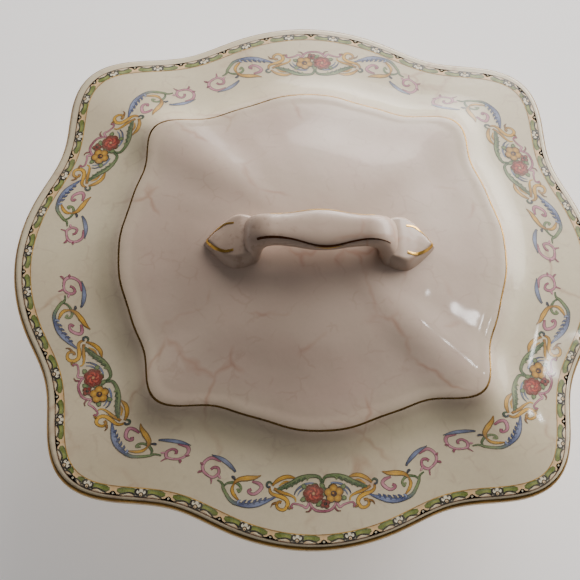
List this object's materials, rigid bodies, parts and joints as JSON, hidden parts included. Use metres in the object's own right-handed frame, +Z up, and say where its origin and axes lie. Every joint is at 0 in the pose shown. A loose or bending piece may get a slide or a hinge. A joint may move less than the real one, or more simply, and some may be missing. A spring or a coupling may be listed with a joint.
{
  "type": "covered butter dish",
  "caption": "Square covered butter dish with serpentine sides, a pierced drainer inside and a flanged lid lifted by a bar handle.",
  "frame": {"origin": "centre of the foot ring's footprint, on the table", "axes": "+Z up, the direction the lid lifts; X along the bar handle; Y across it"},
  "size_m": [0.1882, 0.1914, 0.0666],
  "materials": {
    "dish_glaze": "ivory lead glaze over earthenware, opaque",
    "drainer_glaze": "ivory lead glaze over earthenware, opaque",
    "lid_glaze": "ivory lead glaze over earthenware, opaque, gilt and printed decoration",
    "handle_glaze": "ivory lead glaze over earthenware, opaque, gilt lines"
  },
  "bodies": {
    "dish": {"base_dish": "dish_glaze"},
    "drainer_body": {"drainer": "drainer_glaze"},
    "lid": {"lid_shell": "lid_glaze", "lid_handle": "handle_glaze"}
  },
  "joints": [
    {"name": "lid_lift", "type": "slide", "parent": "dish", "child": "lid", "axis": [0, 0, 1], "range_m": [0, 0.15]},
    {"name": "drainer_lift", "type": "slide", "parent": "dish", "child": "drainer_body", "axis": [0, 0, 1], "range_m": [0, 0.01]}
  ]
}
